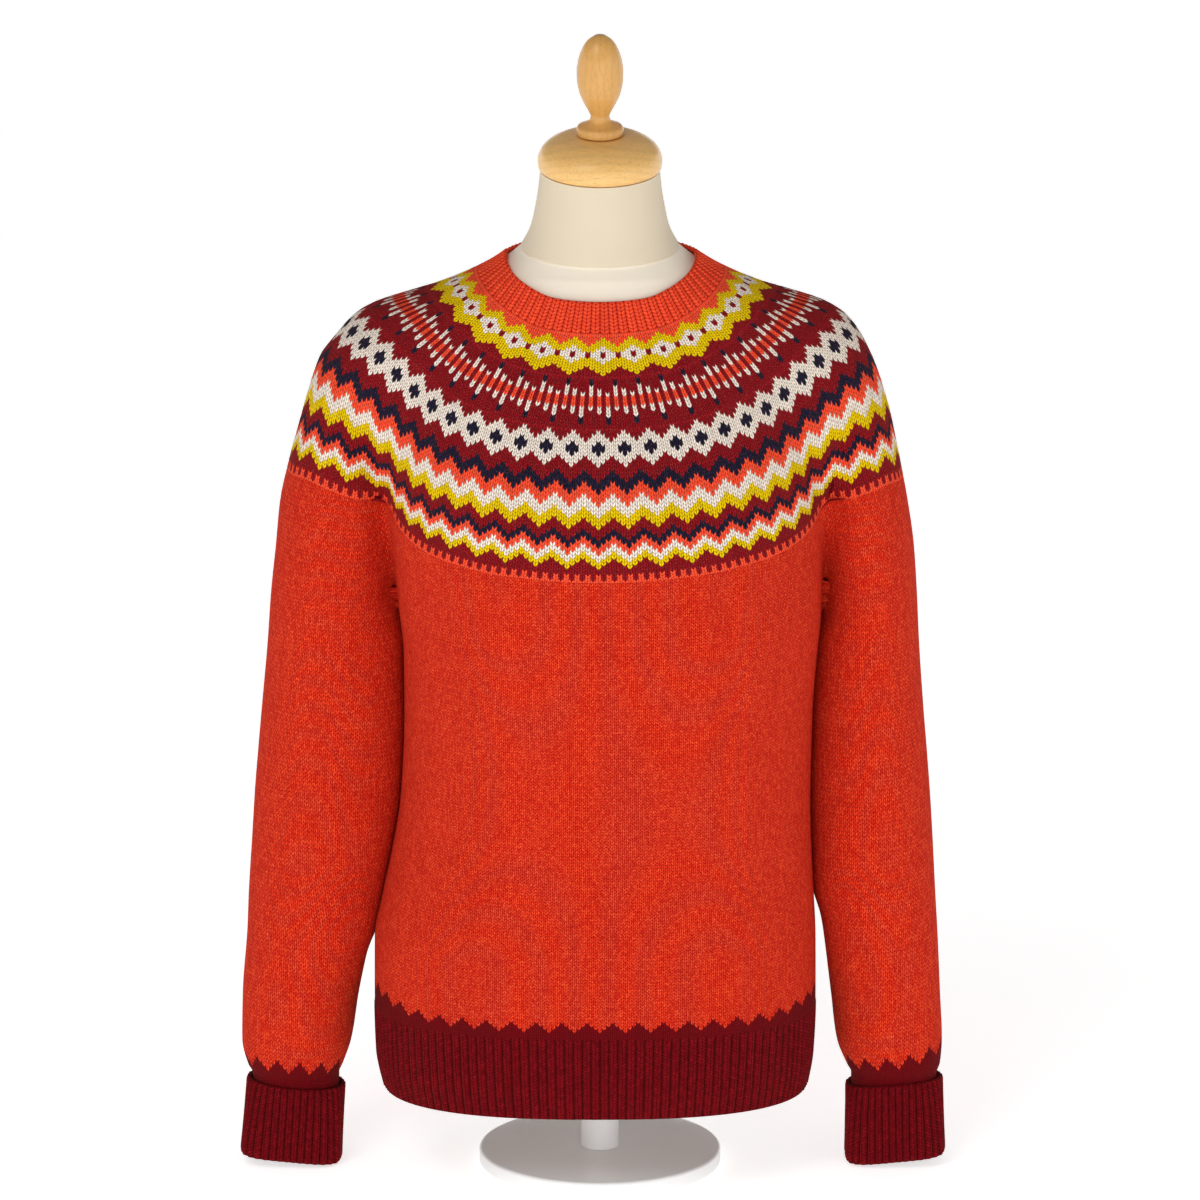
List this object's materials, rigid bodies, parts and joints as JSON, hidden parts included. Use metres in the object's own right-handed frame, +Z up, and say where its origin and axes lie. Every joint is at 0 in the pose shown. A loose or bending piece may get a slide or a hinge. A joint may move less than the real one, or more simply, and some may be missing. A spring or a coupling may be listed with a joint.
{
  "type": "fair isle jumper on dress form",
  "caption": "Crew-neck lambswool jumper with a round patterned fair isle yoke, ribbed hem and turned-back ribbed cuffs, worn on a limbless jersey dress form with a turned beech cap.",
  "frame": {"origin": "centre of the flat underside of the form's round base, on the ground", "axes": "+Z up along the form's post, -Y the front of the jumper, +X to the right in the front view, which is the wearer's left"},
  "size_m": [0.5582, 0.2529, 0.9055],
  "materials": {
    "heather_wool": "orange-red heathered lambswool stocking stitch and rib, matt and slightly fuzzy",
    "yoke_wool": "stranded lambswool in dark red, navy, cream, mustard and orange-red",
    "wine_wool": "dark red lambswool rib, matt",
    "jersey": "cream cotton jersey stretched over the padded form",
    "beech": "turned beech with satin varnish",
    "white_lacquer": "white powder-coated steel"
  },
  "bodies": {
    "root": {"neck_rib": "heather_wool", "yoke": "yoke_wool", "body_front": "heather_wool", "body_back": "heather_wool", "hem_rib": "wine_wool", "sleeve_left": "heather_wool", "sleeve_right": "heather_wool", "cuff_left": "wine_wool", "cuff_right": "wine_wool", "form_torso": "jersey", "form_cap": "beech", "form_finial": "beech", "form_post": "white_lacquer", "form_base": "white_lacquer"}
  },
  "joints": []
}
